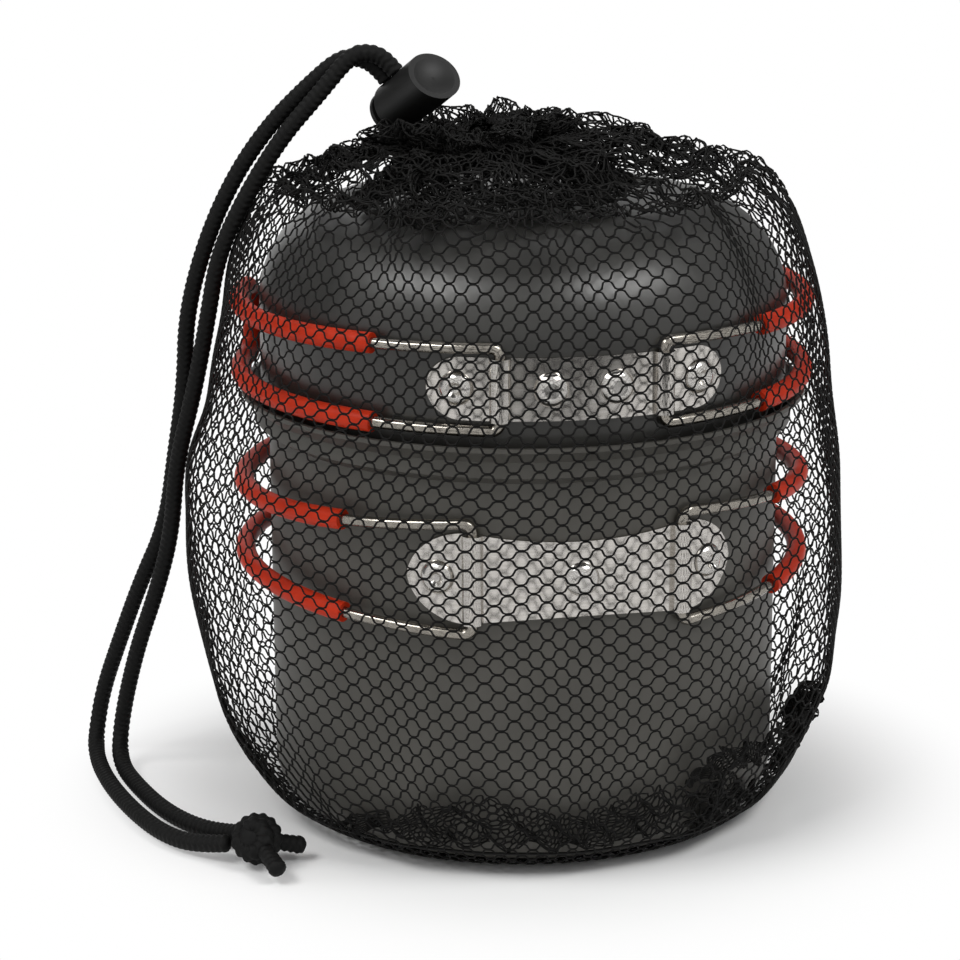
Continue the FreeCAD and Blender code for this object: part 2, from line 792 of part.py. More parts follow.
floor_lie = size("cord_radius") + 0.1


def beside(across, back, up):
    """A point of a tail's run, in shares of the pot's radius and of the neck's height."""
    return Vector(across * size("pot_radius"), back * size("pot_radius"), up * neck.z)


def lying(across, back, lift=0.0):
    """A point of a tail's run on the floor, in shares of the pot's radius."""
    return beside(across, back, 0) + Vector(0, 0, floor_lie + lift)


knot_centre = beside(-1.173, -0.6506, 0) + Vector(0, 0, size("knot_radius") + 0.05)


def knot_entry(direction, gap):
    way = Vector(*direction)
    way.normalize()
    return knot_centre + way * (size("knot_radius") + gap)


cord_pitch = size("cord_radius") + 0.12
outer_exit = tail_exit(-cord_pitch)
inner_exit = tail_exit(cord_pitch)
outer_points = [
    outer_exit,
    outer_exit + hole_way * 3.8,
    outer_exit + Vector(-5.9, 2.0, 5.0),
    outer_exit + Vector(-10.4, 3.2, 4.9),
    beside(-0.8087, 0.1764, 1.0894),
    beside(-0.9517, 0.223, 1.0319),
    beside(-1.0882, 0.2696, 0.9540),
    beside(-1.2013, 0.3161, 0.8557),
    beside(-1.2812, 0.3661, 0.7407),
    beside(-1.2912, 0.4126, 0.6258),
    beside(-1.3344, 0.4592, 0.5108),
    beside(-1.3744, 0.5092, 0.3959),
    beside(-1.4809, 0.579, 0.2963),
    beside(-1.5641, 0.6556, 0.1980),
    beside(-1.6406, 0.7321, 0.1022),
    beside(-1.7038, 0.7155, 0.0319),
    lying(-1.7304, 0.5491),
    lying(-1.7038, 0.2329),
    lying(-1.6206, -0.0998),
    lying(-1.5141, -0.3661),
    lying(-1.3977, -0.5158, 0.5),
    knot_entry((-7.5, 3.1, -1.8), 4 * size("cord_gap")),
]
inner_points = [
    inner_exit,
    inner_exit + hole_way * 3.8,
    inner_exit + Vector(-5.8, 1.3, 4.6),
    inner_exit + Vector(-10.2, 1.6, 4.0),
    beside(-0.7787, 0.0832, 1.0817),
    beside(-0.9185, 0.1198, 1.0191),
    beside(-1.0549, 0.1697, 0.9323),
    beside(-1.1681, 0.203, 0.8403),
    beside(-1.2113, 0.2429, 0.7382),
    beside(-1.2646, 0.2895, 0.6283),
    beside(-1.3411, 0.3394, 0.5108),
    beside(-1.3644, 0.3827, 0.3959),
    beside(-1.4243, 0.4393, 0.3001),
    beside(-1.5042, 0.4992, 0.2043),
    beside(-1.5607, 0.5591, 0.1086),
    beside(-1.5907, 0.5724, 0.0383),
    lying(-1.5973, 0.4326),
    lying(-1.5541, 0.183),
    lying(-1.4775, -0.0998),
    lying(-1.3744, -0.3161, 0.3),
    lying(-1.2612, -0.4559, 1.4),
    knot_entry((-2.6, 8.1, -1.2), 4 * size("cord_gap")),
]
for tail, points in (("outer", outer_points), ("inner", inner_points)):
    node(swept("tail_" + tail, route(tail, points), "Sizes.cord_radius"), "cord_tail_" + tail)

knot = bound(doc.addObject("Part::Sphere", "knot_ball"), Radius="Sizes.knot_radius")
knot.Placement = Placement(knot_centre, Rotation())
node(knot, "cord_knot")

cut_ends = []
for n, (way, long) in enumerate((((10.3, 2.0, -3.2), 6.0), ((3.4, -12.6, -3.2), 7.4))):
    start = knot_entry(way, size("cord_gap"))
    end = bound(doc.addObject("Part::Cylinder", f"cut_end_{n}"), Radius="Sizes.cord_radius")
    end.Height = long
    end.Placement = Placement(start, Rotation(Vector(0, 0, 1), Vector(*way)))
    cut_ends.append(end)
node(grouped("cut_end_pair", cut_ends), "cord_ends")

# ---- check and write ----

doc.recompute()
faulty = [o.Label for o in doc.Objects if "Invalid" in o.State or "Error" in o.State]
faulty += [o.Label for o in nodes if o.Shape.isNull() or not o.Shape.isValid()]
if faulty:
    raise RuntimeError(f"these objects failed: {faulty}")
for feature in nodes:
    feature.Shape.exportStep(f"parts/{feature.Label}.step")
    print(feature.Label, len(feature.Shape.Solids), round(feature.Shape.Volume, 1))
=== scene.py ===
import math

import bpy
import numpy as np
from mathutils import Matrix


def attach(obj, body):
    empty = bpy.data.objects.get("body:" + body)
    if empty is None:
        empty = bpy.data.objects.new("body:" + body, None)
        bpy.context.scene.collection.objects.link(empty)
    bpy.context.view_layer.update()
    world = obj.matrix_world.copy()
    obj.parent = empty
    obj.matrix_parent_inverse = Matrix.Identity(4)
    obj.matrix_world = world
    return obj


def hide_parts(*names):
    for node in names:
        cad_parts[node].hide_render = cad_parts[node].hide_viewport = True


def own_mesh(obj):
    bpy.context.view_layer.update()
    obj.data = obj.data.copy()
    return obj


# a camping cook set: the CAD pieces are dressed in their materials, and the net bag, its cords
# and their knot are made here
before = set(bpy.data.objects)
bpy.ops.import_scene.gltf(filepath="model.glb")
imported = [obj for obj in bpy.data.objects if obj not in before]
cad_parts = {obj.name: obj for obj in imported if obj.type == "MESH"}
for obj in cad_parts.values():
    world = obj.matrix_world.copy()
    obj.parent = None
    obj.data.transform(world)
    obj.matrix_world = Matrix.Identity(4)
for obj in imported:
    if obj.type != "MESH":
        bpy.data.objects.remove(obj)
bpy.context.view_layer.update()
mm = 0.001
rng = np.random.default_rng(7)
print("frame loaded:", len(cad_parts), "nodes")

# place and target in millimetres, seen from a little above and to the left
cameraLook = dict(place=(-142.9, -655.6, 259.0), target=(0, 0, 76.5), lens=109.1, shiftX=-0.0448)


def aimed(place, target):
    # the turn that points an object's -Z from place to target, kept upright
    way = np.subtract(target, place)
    return math.atan2(math.hypot(way[0], way[1]), -way[2]), 0, math.atan2(-way[0], way[1])


camera = bpy.data.objects.new("camera", bpy.data.cameras.new("camera"))
bpy.context.collection.objects.link(camera)
camera.location = [v * mm for v in cameraLook["place"]]
camera.rotation_euler = aimed(cameraLook["place"], cameraLook["target"])
camera.data.lens = cameraLook["lens"]
camera.data.sensor_width = 36
camera.data.shift_x = cameraLook["shiftX"]
camera.data.clip_start = 0.01
bpy.context.scene.camera = camera


def colour(text):
    # sRGB hex to linear: v / 12.92 up to 0.04045, above it ((v + 0.055) / 1.055) to the 2.4
    v = np.array([int(text[i:i + 2], 16) for i in (1, 3, 5)]) / 255
    v = np.where(v <= 0.04045, v / 12.92, ((v + 0.055) / 1.055) ** 2.4)
    return (*v, 1.0)


def addNode(owner, kind, inputs=None, **settings):
    # one node with its settings; an input is a value, or another node's socket to link
    node = owner.node_tree.nodes.new(kind)
    for name, value in settings.items():
        setattr(node, name, value)
    for name, value in (inputs or {}).items():
        if isinstance(value, bpy.types.NodeSocket):
            owner.node_tree.links.new(value, node.inputs[name])
        else:
            node.inputs[name].default_value = value
    return node


def newMaterial(name, values):
    # a Principled shader with fixed values; the caller links what varies over the surface
    material = bpy.data.materials.new(name)
    material.use_nodes = True
    shader = material.node_tree.nodes["Principled BSDF"]
    for socket, value in values.items():
        shader.inputs[socket].default_value = value
    return material, shader


def perMetre(size):
    # a texture's scale: how many patches of a size in millimetres lie along a metre
    return 1 / (size * mm)


def finish(material, shader, look, factor, height, darkAt=0.3, lightAt=0.7, under=None):
    # the colour goes from dark to light with the factor, and the height stands out as a bump,
    # laid over a finer bump where one is given
    tone = addNode(material, "ShaderNodeValToRGB", {"Fac": factor})
    for stop, at, shade in zip(tone.color_ramp.elements, (darkAt, lightAt), ("dark", "light")):
        stop.position = at
        stop.color = colour(look[shade])
    inputs = {"Height": height, "Strength": look["bump"], "Distance": look["deep"] * mm}
    if under is not None:
        inputs["Normal"] = under
    bump = addNode(material, "ShaderNodeBump", inputs)
    material.node_tree.links.new(tone.outputs["Color"], shader.inputs["Base Color"])
    material.node_tree.links.new(bump.outputs["Normal"], shader.inputs["Normal"])
    return material


def anodised(name, look):
    # hard anodised aluminium, spun and blasted: warm dark grey, satin, with a very fine grain
    # under a thin clear oxide, which carries the wide soft highlights
    material, shader = newMaterial(name, {
        "Metallic": look["metallic"], "Coat Weight": look["oxide"],
        "Coat Roughness": look["oxideRoughness"]})
    place = addNode(material, "ShaderNodeTexCoord").outputs["Object"]
    cloud = addNode(material, "ShaderNodeTexNoise", {
        "Vector": place, "Scale": perMetre(look["cloudSize"]), "Detail": 3.0}).outputs["Fac"]
    # the spin of the lathe leaves rings about the axis, so one noise is stretched round it
    spun = addNode(material, "ShaderNodeMapping", {"Vector": place, "Scale": look["ringStretch"]})
    rings = addNode(material, "ShaderNodeTexNoise", {
        "Vector": spun.outputs["Vector"], "Scale": perMetre(look["ringSize"]), "Detail": 2.0})
    grain = addNode(material, "ShaderNodeTexNoise", {
        "Vector": place, "Scale": perMetre(look["grain"]), "Detail": 4.0})
    both = addNode(material, "ShaderNodeMix", {
        "Factor": 0.5, "A": rings.outputs["Fac"], "B": grain.outputs["Fac"]})
    rough = addNode(material, "ShaderNodeMapRange", {
        "Value": cloud, "From Min": 0.3, "From Max": 0.7,
        "To Min": look["roughness"] - look["uneven"],
        "To Max": look["roughness"] + look["uneven"]})
    material.node_tree.links.new(rough.outputs["Result"], shader.inputs["Roughness"])
    return finish(material, shader, look, cloud, both.outputs[0])


# sizes and depths of every finish are in millimetres
potFinish = dict(
    light="#56544f", dark="#4c4a45", metallic=0.35, roughness=0.5, uneven=0.04, oxide=0.08,
    oxideRoughness=0.4, cloudSize=14.0, ringSize=1.2, ringStretch=(0.25, 0.25, 3.0), grain=0.45,
    bump=0.2, deep=0.05)
# the pan is darker than the pot and shines more
panFinish = dict(
    potFinish, light="#2d2c28", dark="#252421", roughness=0.42, oxide=0.8, oxideRoughness=0.32,
    cloudSize=11.0, ringSize=1.0, grain=0.4, bump=0.16)
potAnodised = anodised("hardAnodisedAluminiumPot", potFinish)
panAnodised = anodised("hardAnodisedAluminiumPan", panFinish)


def polishedSteel(name, look):
    # stainless steel, rolled and polished: near-mirror, faintly wavy, with fine brush lines
    material, shader = newMaterial(name, {"Metallic": 1.0, "Roughness": look["roughness"]})
    place = addNode(material, "ShaderNodeTexCoord").outputs["Object"]
    lines = addNode(material, "ShaderNodeMapping", {"Vector": place, "Scale": look["stretch"]})
    brush = addNode(material, "ShaderNodeTexNoise", {
        "Vector": lines.outputs["Vector"], "Scale": perMetre(look["line"]),
        "Detail": 0.0}).outputs["Fac"]
    fine = addNode(material, "ShaderNodeBump", {
        "Height": brush, "Strength": look["brushBump"], "Distance": look["brushDeep"] * mm})
    waves = addNode(material, "ShaderNodeTexNoise", {
        "Vector": place, "Scale": perMetre(look["wave"]), "Detail": 1.0})
    return finish(material, shader, look, brush, waves.outputs["Fac"], lightAt=0.65,
                  under=fine.outputs["Normal"])


plateFinish = dict(
    light="#c8c4bf", dark="#bfbbb5", roughness=0.15, line=1.4, stretch=(0.3, 0.3, 3.0),
    brushBump=0.02, brushDeep=0.01, wave=9.0, bump=0.3, deep=0.2)
wireFinish = dict(
    plateFinish, light="#a29d94", dark="#938e86", roughness=0.16, line=4.0, stretch=(1, 1, 1),
    wave=6.0, bump=0.08)
plateSteel = polishedSteel("stainlessSteelPolishedPlate", plateFinish)
rivetSteel = polishedSteel("stainlessSteelPressedRivet", dict(
    plateFinish, roughness=0.17, light="#cdcac6", dark="#c4c1bc", stretch=(1, 1, 1)))
wireSteel = polishedSteel("stainlessSteelDrawnWire", wireFinish)
springSteel = polishedSteel("stainlessSteelSpringWire", dict(wireFinish, roughness=0.25))


def evenSurface(name, look):
    # rubber, plastic or yarn: one colour, faintly mottled, with a fine texture of its own
    material, shader = newMaterial(name, {
        "Roughness": look["roughness"], "IOR": look["ior"],
        "Specular IOR Level": look["specular"]})
    place = addNode(material, "ShaderNodeTexCoord").outputs["Object"]
    mottle = addNode(material, "ShaderNodeTexNoise", {
        "Vector": place, "Scale": perMetre(look["mottle"]), "Detail": 2.0})
    grain = addNode(material, "ShaderNodeTexNoise", {
        "Vector": place, "Scale": perMetre(look["grain"]), "Detail": 3.0})
    return finish(material, shader, look, mottle.outputs["Fac"], grain.outputs["Fac"])


# silicone tube, extruded: saturated orange-red with a soft even sheen
silicone = evenSurface("extrudedSiliconeRubber", dict(
    light="#cc3413", dark="#b92b0c", roughness=0.45, ior=1.41, specular=0.28, mottle=6.0,
    grain=0.3, bump=0.1, deep=0.05))
# ABS, moulded with a spark-eroded texture: nearly black, matte, softly shining on its edges
lockPlastic = evenSurface("mouldedAbsPlastic", dict(
    light="#111110", dark="#0c0c0c", roughness=0.48, ior=1.53, specular=0.3, mottle=4.0,
    grain=0.25, bump=0.12, deep=0.05))
# polyester filament, knitted: black and dull, with fibres finer than its yarn
netYarn = evenSurface("knittedPolyesterNet", dict(
    light="#100f0e", dark="#080807", roughness=0.62, ior=1.53, specular=0.14, mottle=3.0,
    grain=0.12, bump=0.3, deep=0.06))
# polyester filament, braided: duller still, with rougher fibres that shade its ribs
cordYarn = evenSurface("braidedPolyesterCord", dict(
    light="#0d0d0c", dark="#050505", roughness=0.7, ior=1.53, specular=0.16, mottle=1.2,
    grain=0.15, bump=0.5, deep=0.06))
print("materials done")


def makePiece(name, points, faces, material, body, slotName, nodes=()):
    # a mesh from points in millimetres and faces that index them
    mesh = bpy.data.meshes.new(name)
    mesh.from_pydata((np.asarray(points).reshape(-1, 3) * mm).tolist(), [], faces.tolist())
    mesh.materials.append(material)
    mesh.polygons.foreach_set("use_smooth", np.ones(len(mesh.polygons), bool))
    mesh.update()
    piece = bpy.data.objects.new(name, mesh)
    bpy.context.collection.objects.link(piece)
    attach(piece, body)
    if nodes:
        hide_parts(*nodes)
    return piece


def unit(v):
    # each vector divided by its own length
    return v / np.maximum(np.linalg.norm(v, axis=-1, keepdims=True), 1e-12)


def tubeFaces(count, length, sides):
    # quads between the rings of count tubes, each of length rings; a tube with four sides
    # also gets a cap at each end
    tube = np.arange(count)[:, None, None] * length * sides
    ring = np.arange(length - 1)[None, :, None] * sides
    side = np.arange(sides)[None, None, :]
    after = (side + 1) % sides
    base = tube + ring
    quads = np.stack([base + side, base + after, base + sides + after, base + sides + side], -1)
    quads = quads.reshape(-1, 4)
    if sides != 4:
        return quads
    lid = np.arange(count)[:, None] * length * sides + np.array([3, 2, 1, 0])[None, :]
    end = lid[:, ::-1] + (length - 1) * sides
    return np.concatenate([quads, lid, end])


def tubes(paths, outward, radius, sides=4):
    # rings round each path: a ring is path + radius * (cos a * outward + sin a * sideways),
    # where outward is squared up to the path's own direction
    along = unit(np.gradient(paths, axis=1))
    out = unit(outward - along * np.sum(outward * along, -1, keepdims=True))
    aside = np.cross(along, out)
    turn = np.arange(sides) * 2 * np.pi / sides
    ring = (np.cos(turn)[:, None] * out[:, :, None, :]
            + np.sin(turn)[:, None] * aside[:, :, None, :])
    return paths[:, :, None, :] + ring * np.asarray(radius)[..., None, None]


def through(keys, t):
    # Catmull-Rom: a smooth curve through the keys, a cubic of the four keys nearest to t
    keys = np.asarray(keys, float)
    last = len(keys) - 1
    t = np.clip(t, 0, last - 1e-9)
    i = t.astype(int)
    f = (t - i)[..., None]
    a, b = keys[np.maximum(i - 1, 0)], keys[i]
    c, d = keys[np.minimum(i + 1, last)], keys[np.minimum(i + 2, last)]
    return 0.5 * (2 * b + (c - a) * f + (2 * a - 5 * b + 4 * c - d) * f ** 2
                  + (3 * b - a - 3 * c + d) * f ** 3)


netLook = dict(
    columns=172,        # stitches round the bag
    rowPitch=2.1,       # between yarns up the bag, half a hole
    stretchAt=[10.0, 40.0, 70.0, 120.0, 140.0],     # heights, and the pitch of the rows
    stretch=[1.14, 1.1, 0.94, 0.94, 1.0],           # there as a share of rowPitch
    reach=0.90,         # how far a yarn swings up and down to its neighbours
    pinch=0.28,         # how far the doubled yarns part at the ends of a link
    linkEnd=0.39,       # where a link ends, in columns from its middle
    linkFlat=0.20,      # up to where its two yarns lie side by side
    yarnRadius=0.25,
    linkRadius=0.20,    # thinner there, since the two press together
    crowdFrom=147.0,    # the height from which the gathered cloth crowds its rows,
    crowdOver=5.0,      # how far further up it is fully crowded, and how much
    crowd=0.5,
)

# rings of the bag: height, half width, half depth, shift along X and Y, pleat depth, puff
bagRings = np.array([
    (0.5, 51.0, 51.0, 0.0, 0.0, 0.0, 0.0),
    (1.2, 56.0, 55.5, 0.0, 0.0, 0.0, 0.0),
    (5.2, 62.0, 60.6, 0.0, 0.0, 0.4, 0.0),
    (13.0, 67.4, 64.8, 0.0, 0.0, 0.7, 0.0),
    (31.0, 74.4, 70.2, -0.6, 0.0, 0.6, 0.0),
    (58.0, 78.4, 72.2, -1.8, 0.0, 0.3, 0.0),
    (81.0, 77.9, 72.0, -2.2, 0.0, 0.2, 0.0),
    (101.0, 73.8, 70.8, -0.8, 0.0, 0.2, 0.0),
    (124.0, 69.6, 69.6, -0.2, 0.0, 0.3, 0.0),
    (136.0, 65.6, 65.4, -0.1, 0.0, 0.6, 0.5),
    (145.0, 60.4, 59.0, -0.6, 0.0, 1.2, 1.5),
    (150.2, 54.6, 52.6, -1.6, -0.3, 1.6, 2.6),
    (146.6, 51.2, 49.4, -2.4, -0.5, 1.2, 2.0),
    (151.6, 47.2, 45.2, -3.8, -0.9, 2.0, 3.6),
    (149.4, 42.8, 40.8, -5.6, -1.4, 2.2, 3.8),
    (155.2, 34.4, 32.4, -8.6, -2.4, 3.0, 5.0),
    (155.0, 29.4, 27.4, -10.4, -3.0, 3.0, 4.0),
    (158.8, 23.0, 21.6, -12.0, -3.6, 2.8, 2.0),
    (157.8, 17.0, 16.4, -12.9, -3.9, 1.8, 0.6),
    (158.8, 15.6, 15.2, -13.0, -4.0, 1.6, 0.3),
    (161.2, 18.4, 16.4, -13.0, -3.8, 2.6, 0.3),
    (163.6, 21.6, 18.6, -13.0, -3.6, 3.4, 0.3),
    (164.0, 19.4, 16.6, -13.0, -3.6, 3.2, 0.3),
    (161.6, 16.2, 14.2, -13.0, -3.8, 2.6, 0.0),
    (163.2, 13.0, 12.0, -13.0, -4.0, 2.2, 0.0),
    (161.0, 9.4, 8.8, -13.0, -4.0, 1.6, 0.0),
    (162.4, 6.2, 6.0, -13.0, -4.0, 1.0, 0.0),
    (161.2, 2.6, 2.6, -13.0, -4.0, 0.4, 0.0),
])

# folds, where the slack cloth crowds its columns: angle, width, height of the middle, half
# height, strength, and how far it stands out
folds = [
    (-0.93, 0.32, 134.0, 24.0, 0.55, 0.8),
    (-0.58, 0.18, 100.0, 45.0, 0.55, 0.4),
    (-0.86, 0.10, 36.0, 14.0, 0.85, 1.2),
    (-0.50, 0.13, 34.0, 9.0, 0.85, 1.0),
    (-1.09, 0.08, 12.0, 14.0, 0.90, 1.0),
    (-0.72, 0.12, 9.0, 12.0, 0.80, 0.8),
    (-2.70, 0.18, 62.0, 50.0, 0.50, 0.4),
    (-2.48, 0.12, 13.0, 15.0, 0.80, 1.0),
    (-2.80, 0.10, 30.0, 16.0, 0.70, 0.8),
    (-1.35, 0.12, 150.0, 9.0, 0.70, 1.0),
    (-2.25, 0.14, 148.0, 10.0, 0.70, 1.0),
    (1.20, 0.20, 60.0, 40.0, 0.60, 0.8),
    (2.40, 0.18, 110.0, 30.0, 0.60, 0.8),
    (0.20, 0.16, 30.0, 26.0, 0.65, 0.8),
]

# the ruffle lies low under the cord lock and dips at the front: angle, width, how far
ruffleDips = [(2.60, 0.55, 5.0), (-1.82, 0.34, 2.4), (1.57, 0.60, 1.8)]

# the bag's cloth; a pair of heights is where something starts and how far on it is complete
clothLook = dict(
    pleats=11,                  # pleats round the neck, and finer ones laid over them
    finePleats=17,
    fineShare=0.38,
    lean=0.055,                 # how far a pleat leans over, in radians
    drift=0.5,                  # how far the pleats wander round the neck, in radians,
    twist=0.05,                 # and how much more with each ring further up
    fullPleat=3.0,              # a pleat this deep leans over fully
    broad=0.5,                  # a slack wave that goes twice round the bag
    broadRise=19.0,
    narrow=0.35,                # and one that goes five times round
    narrowRise=11.0,
    puffSide=0.35,              # the angle at which the shoulder puffs up most
    pleatLift=0.25,             # how much a pleat also rises, as a share of its depth
    wallFoot=(6.0, 12.0),       # the folds and slack waves fade out towards the base
    wallTop=(152.0, -10.0),     # and towards the neck
    ruffleFoot=(155.0, 6.0),    # from here up the ruffle dips
    looseFrom=(140.0, 12.0),    # from here up the cloth is loose and crumples
    settledFoot=(3.0, 8.0),     # the foot stands firm on the floor
    dent=0.35, dentSize=27.0,   # depth and size of the dents in the wall,
    crease=1.1, creaseSize=10.0,        # of the creases in the loose cloth
    wrinkle=0.45, wrinkleSize=4.6,      # and of its fine wrinkles
)

crumpleWaves = 7
crumpleReach = 2.6      # about as far as that many waves add up to
crumpleWays = unit(rng.normal(size=(crumpleWaves, 3))) * rng.uniform(0.7, 1.5, (crumpleWaves, 1))
crumplePhases = rng.uniform(0, 2 * np.pi, (crumpleWaves, 3))


def crumple(points, size):
    # a smooth random shift: a sum of sine waves that run through space in random directions
    shift = np.zeros_like(points)
    for way, phase in zip(crumpleWays, crumplePhases):
        shift = shift + np.sin((points @ way)[..., None] * (2 * np.pi / size) + phase)
    return shift / crumpleReach


def bell(angle, middle, width):
    # e to the minus square of the distance from the middle in widths, and that distance
    away = (angle - middle + np.pi) % (2 * np.pi) - np.pi
    return np.exp(-(away / width) ** 2), away


def fade(z, start, over):
    # 0 at the start, 1 at a distance past it, and even between them
    return np.clip((z - start) / over, 0, 1)


def bagSurface(turn, t):
    # an oval of each height's half width and depth, with pleats as a sum of cosines of the
    # angle, a puff that lifts the cloth beside the neck, folds, slack waves and crumpling
    look = clothLook
    z, wide, deep, shiftX, shiftY, pleat, puff = np.moveaxis(through(bagRings, t), -1, 0)
    angle = turn * 2 * np.pi - np.pi
    drift = look["drift"] * np.sin(3 * angle + 0.6) + look["twist"] * t
    crowd = fade(pleat, 0, look["fullPleat"])
    bent = angle + crowd * look["lean"] * np.sin(look["pleats"] * angle + 1.1 + drift)
    stand = np.zeros_like(bent)
    for where, width, middle, half, strength, out in folds:
        near, away = bell(angle, where, width)
        near = near * np.exp(-((z - middle) / half) ** 2)
        bent = bent - strength * away * near
        stand = stand + out * near
    wave = pleat * ((1 - look["fineShare"]) * np.cos(look["pleats"] * angle + drift)
                    + look["fineShare"] * np.cos(look["finePleats"] * angle + 2.2 * drift))
    slack = (look["broad"] * np.sin(2 * angle + z / look["broadRise"])
             + look["narrow"] * np.sin(5 * angle - z / look["narrowRise"]))
    body = fade(z, *look["wallFoot"]) * fade(z, *look["wallTop"])
    reach = stand * body + wave + slack * body
    lift = (puff * (0.5 + 0.5 * np.cos(angle - look["puffSide"]))
            + look["pleatLift"] * wave * crowd)
    for where, width, far in ruffleDips:
        lift = lift - far * bell(angle, where, width)[0] * fade(z, *look["ruffleFoot"])
    cloth = np.stack([
        shiftX + (wide + reach) * np.cos(bent), shiftY + (deep + reach) * np.sin(bent), z + lift],
        -1)
    loose = fade(z, *look["looseFrom"])[..., None]
    settled = fade(z, *look["settledFoot"])[..., None]
    return cloth + settled * (
        look["dent"] * crumple(cloth, look["dentSize"])
        + loose * (look["crease"] * crumple(cloth, look["creaseSize"])
                   + look["wrinkle"] * crumple(cloth, look["wrinkleSize"])))


def rowSteps(look):
    # how far up the cloth each t lies, measured along the rings' mean width, with each step
    # divided by the stretch there and lengthened where the cloth is crowded
    t = np.linspace(0, len(bagRings) - 1, 2400)
    line = through(bagRings, t)
    run = np.stack([line[:, 0], (line[:, 1] + line[:, 2]) / 2], -1)
    far = np.linalg.norm(np.diff(run, axis=0), axis=1)
    far = far / np.interp(line[1:, 0], look["stretchAt"], look["stretch"])
    far = far * (1 + look["crowd"] * fade(line[1:, 0], look["crowdFrom"], look["crowdOver"]))
    return np.concatenate([[0], np.cumsum(far)]), t


def knit(surface, rows, look, first, last):
    # yarns run across the net; each swings up to touch the yarn above at one column and down
    # to the yarn below at the next, so that the holes stand in offset rows; each link has four
    # points, of which the outer two part from the other yarn
    column = np.arange(first, last + 1)
    spread = np.array([-look["linkEnd"], -look["linkFlat"], look["linkFlat"], look["linkEnd"]])
    steps = (column[:, None] + spread).ravel()
    bow = np.tile(look["reach"] - look["pinch"] * np.array([1, 0, 0, 1]), len(column))
    side = np.repeat(np.where(column % 2, -1.0, 1.0), 4)
    row = np.arange(rows)[:, None]
    level = row + 0.5 + np.where(row % 2, -1.0, 1.0) * (side * bow) / look["rowPitch"]
    u = np.broadcast_to(steps, level.shape)
    centre = surface(u, level)
    upward = surface(u, level + 0.05) - centre      # a short step up the cloth
    out = np.cross(np.gradient(centre, axis=1), upward)
    radius = np.where(bow < look["reach"], look["yarnRadius"], look["linkRadius"])
    return tubes(centre, out, np.broadcast_to(radius, level.shape))


rowFar, rowT = rowSteps(netLook)
bagRows = int(rowFar[-1] / netLook["rowPitch"])


def bagCloth(u, row):
    # the bag's surface by column and row; column 0 lies at the back
    t = np.interp(row * netLook["rowPitch"], rowFar, rowT)
    return bagSurface(u / netLook["columns"] - 0.25, t)


def yarnPiece(name, rings, nodes=()):
    # a piece of the bag from the rings of its yarns
    return makePiece(name, rings, tubeFaces(*rings.shape[:3]), netYarn, "bag", "net_mesh", nodes)


netPieces = []
quarter = netLook["columns"] / 4
for number, name in enumerate(("bagNetBackLeft", "bagNetFrontLeft", "bagNetFrontRight",
                               "bagNetBackRight")):
    first, last = round(number * quarter), round((number + 1) * quarter)
    netPieces.append(yarnPiece(name, knit(bagCloth, bagRows, netLook, first, last)))
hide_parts("bag_net")
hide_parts("bag_hem")

# gather: the pleats that the drawn neck pushes inside, over the pan, most at the front
gatherLook = [
    # the dark pleats at the front left, a second layer behind them, an open layer to the right
    dict(columns=150, rows=30, inner=14.0, outer=52.0, low=148.4, rise=9.0, pleats=25, deep=1.3,
         wander=1.1, middle=-2.1, spread=1.15),
    dict(columns=140, rows=22, inner=13.0, outer=36.0, low=149.6, rise=11.5, pleats=31, deep=1.6,
         wander=1.3, middle=-1.6, spread=1.9),
    dict(columns=60, rows=9, inner=16.0, outer=60.0, low=149.8, rise=9.5, pleats=9, deep=0.8,
         wander=0.8, middle=-0.5, spread=0.9),
]
gatherStitch = dict(netLook, rowPitch=1.4, reach=0.58, pinch=0.1)
gatherShape = dict(
    hem=8.0,                # how far each gather reaches out even where it is shortest
    shift=(9.0, 3.0),       # how far its edge lies towards the middle of the pan
    lean=0.06,              # how far a pleat leans over, in radians
    curve=1.4,              # above 1 the cone is hollow
    creaseSize=7.0,
)
neckX, neckY = bagRings[-1, 3:5]


def gatherCloth(look):
    # a shallow hollow cone from the neck outwards, with deep pleats that fade towards its
    # ragged edge
    def place(u, row):
        shape = gatherShape
        angle = u / look["columns"] * 2 * np.pi - np.pi
        share = row / look["rows"]
        near = bell(angle, look["middle"], look["spread"])[0]
        ragged = 0.9 + 0.1 * np.sin(5 * angle + 1.0)
        edge = (look["inner"] + shape["hem"]
                + (look["outer"] - look["inner"] - shape["hem"]) * near * ragged)
        out = look["inner"] + (edge - look["inner"]) * share
        pleat = look["deep"] * (1 - 0.5 * share) * np.cos(
            look["pleats"] * angle + 1.5 * np.sin(3 * angle))
        bent = angle + shape["lean"] * (1 - share) * np.sin(look["pleats"] * angle)
        cloth = np.stack([
            neckX + shape["shift"][0] * share + out * np.cos(bent),
            neckY + shape["shift"][1] * share + out * np.sin(bent),
            look["low"] + look["rise"] * (1 - share) ** shape["curve"] + pleat], -1)
        return cloth + crumple(cloth + look["deep"], shape["creaseSize"]) * look["wander"]
    return place


gatherNet = []
for number, look in enumerate(gatherLook):
    rings = knit(gatherCloth(look), look["rows"], gatherStitch, 0, look["columns"])
    gatherNet.append(yarnPiece(f"bagNetGather{number + 1}", rings))

# base: a flat round of the same net under the pot, its outer stitches drawn in to the seam
baseLook = dict(radius=51.5, height=0.5, columns=32, columnPitch=3.45, rows=51, rowPitch=2.1)


def baseCloth(u, row):
    # a level square of stitches, with those outside the round drawn in to its edge
    x = (u - baseLook["columns"] / 2) * baseLook["columnPitch"]
    y = (row - baseLook["rows"] / 2) * baseLook["rowPitch"]
    shrink = np.minimum(1, baseLook["radius"] / np.maximum(np.hypot(x, y), 1e-6))
    return np.stack([x * shrink, y * shrink, np.full_like(x, baseLook["height"])], -1)


